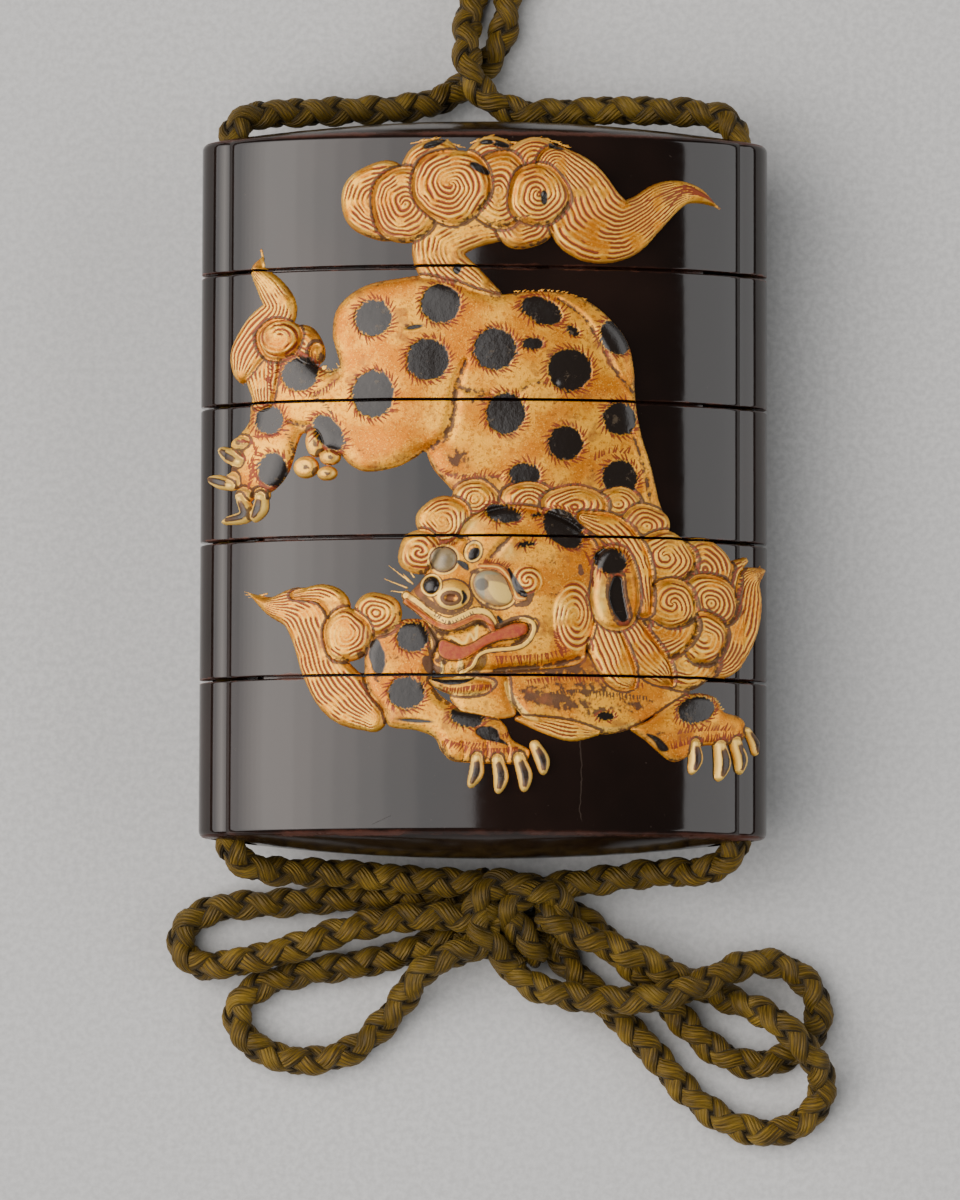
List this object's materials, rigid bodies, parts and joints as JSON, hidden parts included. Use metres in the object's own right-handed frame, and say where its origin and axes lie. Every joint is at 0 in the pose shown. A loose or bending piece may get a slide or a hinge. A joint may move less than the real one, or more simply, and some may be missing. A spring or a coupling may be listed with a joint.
{
  "type": "inro case",
  "caption": "Flat lacquered inro case of stacked nesting sections with a gold shishi lion in relief, lying on its back with its silk cord tied in a bow",
  "frame": {"origin": "middle of the case's outline on the ground plane, at the flat strip along the back on which it lies", "axes": "+Y along the case from its bottom section to its lid, +Z out of the lion's side, +X to the right when the lion is seen upright from above"},
  "size_m": [0.0699, 0.1645, 0.0234],
  "materials": {
    "lacquer": "glossy dark brown lacquer over a thin wooden core, with a lion in matt and polished gold relief on the front",
    "silk": "round four-strand braid of olive gold silk"
  },
  "bodies": {
    "root": {"case_4": "lacquer", "case_3": "lacquer", "case_2": "lacquer", "case_1": "lacquer", "lid": "lacquer", "cord_left_above": "silk", "cord_right_above": "silk", "cord_left_below": "silk", "cord_right_below": "silk", "bow_upper_left": "silk", "bow_lower_left": "silk", "bow_upper_right": "silk", "bow_lower_right": "silk", "cord_left_runner": "silk", "cord_right_runner": "silk", "bow_knot": "silk", "cord_coil": "silk"}
  },
  "joints": []
}
